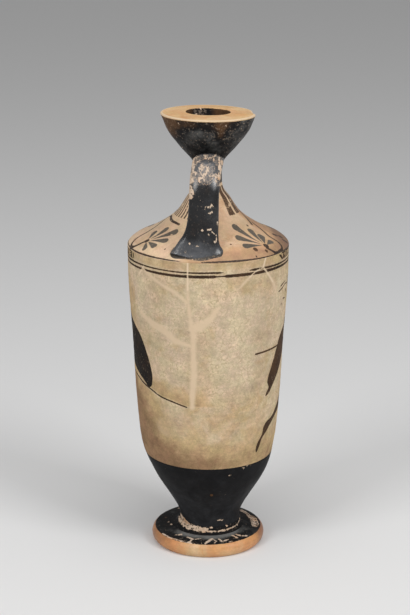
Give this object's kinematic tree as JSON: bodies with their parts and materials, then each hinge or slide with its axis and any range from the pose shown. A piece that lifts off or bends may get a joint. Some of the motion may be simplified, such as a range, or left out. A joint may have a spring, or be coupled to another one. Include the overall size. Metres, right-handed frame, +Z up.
{
  "type": "lekythos",
  "caption": "Slender footed oil flask with a tall pale body, black taper, cup mouth and one strap handle from neck to shoulder.",
  "frame": {"origin": "on the throwing axis, in the plane that the foot stands on", "axes": "+Z up along the throwing axis, -Y towards the handle, +X to the right of a viewer who faces the handle"},
  "size_m": [0.0896, 0.0896, 0.25],
  "materials": {
    "terracotta": "reserved orange-buff clay, smoothed, matt",
    "white_slip": "cream slip, matt, mottled and mended",
    "black_gloss": "black gloss slip, worn at the edges"
  },
  "bodies": {
    "root": {"foot": "black_gloss", "stem_ring": "black_gloss", "body": "black_gloss", "white_ground": "white_slip", "shoulder": "terracotta", "neck": "terracotta", "mouth": "black_gloss", "handle": "black_gloss"}
  },
  "joints": []
}
